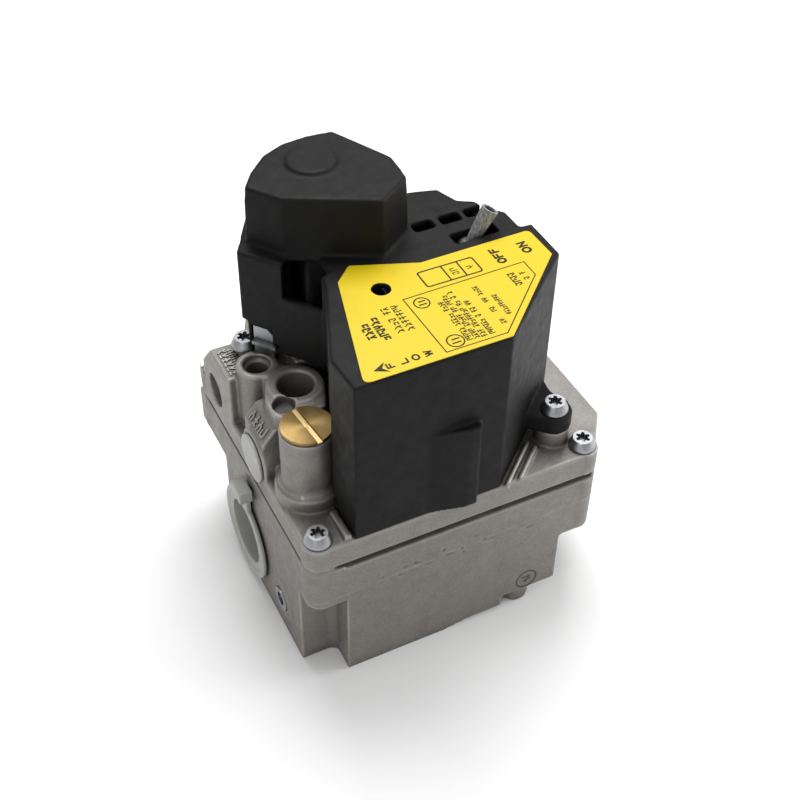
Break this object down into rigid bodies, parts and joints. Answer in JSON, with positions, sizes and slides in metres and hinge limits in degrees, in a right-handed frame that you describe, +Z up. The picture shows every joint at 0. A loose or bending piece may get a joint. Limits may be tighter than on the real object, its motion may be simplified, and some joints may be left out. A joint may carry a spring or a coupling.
{
  "type": "gas control valve",
  "caption": "Combination gas control valve: two die-cast bodies with threaded ports, a moulded cover with tower and toggle, and a capped pressure regulator.",
  "frame": {"origin": "on the resting plane, directly below the middle of the port axis", "axes": "+X along the port axis from outlet to inlet, +Y to the back, +Z up"},
  "size_m": [0.1152, 0.0975, 0.1436],
  "materials": {
    "cast": "as-cast die-casting, tumbled",
    "black_plastic": "fine texture",
    "label": "printed vinyl",
    "rubber": "matte",
    "zinc_steel": "bright zinc plated",
    "steel": "bright",
    "stainless": "satin",
    "lever_metal": "bright nickel",
    "brass": "turned",
    "natural_plastic": "translucent natural polyethylene",
    "tape": "black insulating tape over the winding",
    "black_steel": "black electrocoat",
    "dark_plastic": "moulded phenolic",
    "wire_red": "PVC insulation",
    "fibre": "compressed sheet"
  },
  "bodies": {
    "valve_body": {"lower_body": "cast", "upper_body": "cast", "body_gasket": "fibre", "body_screws": "zinc_steel", "plastic_cover": "black_plastic", "cover_label": "label", "cover_screw": "zinc_steel", "rear_bracket": "zinc_steel", "bracket_screw": "zinc_steel", "regulator_spring": "steel", "regulator_diaphragm": "rubber", "regulator_ring": "cast", "regulator_nozzle": "brass", "toggle_pin": "steel", "switch_housing": "dark_plastic", "terminal_tabs": "zinc_steel", "terminal_block": "dark_plastic", "lead_wires": "wire_red", "redundant_frame": "black_steel", "redundant_bobbin": "dark_plastic", "redundant_winding": "tape", "redundant_tube": "stainless", "redundant_core": "steel", "redundant_spring": "steel", "servo_frame": "black_steel", "servo_bobbin": "dark_plastic", "servo_winding": "tape", "servo_tube": "stainless", "servo_core": "steel", "servo_spring": "steel", "main_diaphragm": "rubber", "main_valve_spring": "steel", "inlet_screen": "stainless", "outlet_tap_plug": "zinc_steel", "tube_orings": "rubber"},
    "toggle": {"toggle_lever": "lever_metal"},
    "switch_rocker": {"switch_contact": "brass"},
    "cap_seal": {"cap_oring": "rubber"},
    "cap": {"regulator_cap": "brass"},
    "spring_seat": {"spring_button": "zinc_steel"},
    "adjuster": {"regulator_adjust_screw": "natural_plastic"},
    "sensing_plate": {"regulator_plate": "zinc_steel"},
    "redundant_armature": {"redundant_plunger": "steel", "redundant_valve_disc": "rubber"},
    "servo_armature": {"servo_plunger": "steel"},
    "main_valve": {"main_valve_stem": "stainless", "diaphragm_plate": "zinc_steel", "main_valve_disc": "rubber"},
    "outlet_plug": {"outlet_port_plug": "natural_plastic"},
    "vent_cover": {"vent_plug": "natural_plastic"}
  },
  "joints": [
    {"name": "toggle_swing", "type": "hinge", "parent": "valve_body", "child": "toggle", "pos_m": [0.021, -0.0058, 0.1179], "axis": [0, 1, 0], "range_deg": [-58, 0]},
    {"name": "contact_rock", "type": "hinge", "parent": "valve_body", "child": "switch_rocker", "pos_m": [0.021, -0.0058, 0.1088], "axis": [0, 1, 0], "range_deg": [0, 16.3]},
    {"name": "cap_rise", "type": "slide", "parent": "valve_body", "child": "cap_seal", "axis": [0, 0, 1], "range_m": [0, 0.00405]},
    {"name": "cap_turn", "type": "hinge", "parent": "cap_seal", "child": "cap", "pos_m": [-0.0438, -0.0288, 0.0884], "axis": [0, 0, 1], "range_deg": [0, 1440]},
    {"name": "adjust_travel", "type": "slide", "parent": "valve_body", "child": "spring_seat", "axis": [0, 0, -1], "range_m": [-0.0025, 0.004], "deforming": ["regulator_spring"]},
    {"name": "adjuster_turn", "type": "hinge", "parent": "spring_seat", "child": "adjuster", "pos_m": [-0.0438, -0.0288, 0.0764], "axis": [0, 0, -1], "range_deg": [-905, 1445]},
    {"name": "sensing_lift", "type": "slide", "parent": "valve_body", "child": "sensing_plate", "axis": [0, 0, 1], "range_m": [-0.0006, 0.0003], "deforming": ["regulator_diaphragm", "regulator_spring"]},
    {"name": "redundant_lift", "type": "slide", "parent": "valve_body", "child": "redundant_armature", "axis": [0, 0, 1], "range_m": [0, 0.003], "deforming": ["redundant_spring"]},
    {"name": "servo_lift", "type": "slide", "parent": "valve_body", "child": "servo_armature", "axis": [0, 0, 1], "range_m": [0, 0.0012], "deforming": ["servo_spring"]},
    {"name": "main_lift", "type": "slide", "parent": "valve_body", "child": "main_valve", "axis": [0, 0, 1], "range_m": [0, 0.0035], "deforming": ["main_diaphragm", "main_valve_spring"]},
    {"name": "outlet_plug_pull", "type": "slide", "parent": "valve_body", "child": "outlet_plug", "axis": [-1, 0, 0], "range_m": [0, 0.055]},
    {"name": "vent_plug_pull", "type": "slide", "parent": "valve_body", "child": "vent_cover", "axis": [-1, 0, 0], "range_m": [0, 0.02]}
  ],
  "couplings": [
    {"joint": "contact_rock", "follows": "toggle_swing", "ratio": -0.2759},
    {"joint": "cap_rise", "follows": "cap_turn", "m_per_rad": 0.00015915},
    {"joint": "adjuster_turn", "follows": "adjust_travel", "rad_per_m": 6283.2}
  ]
}
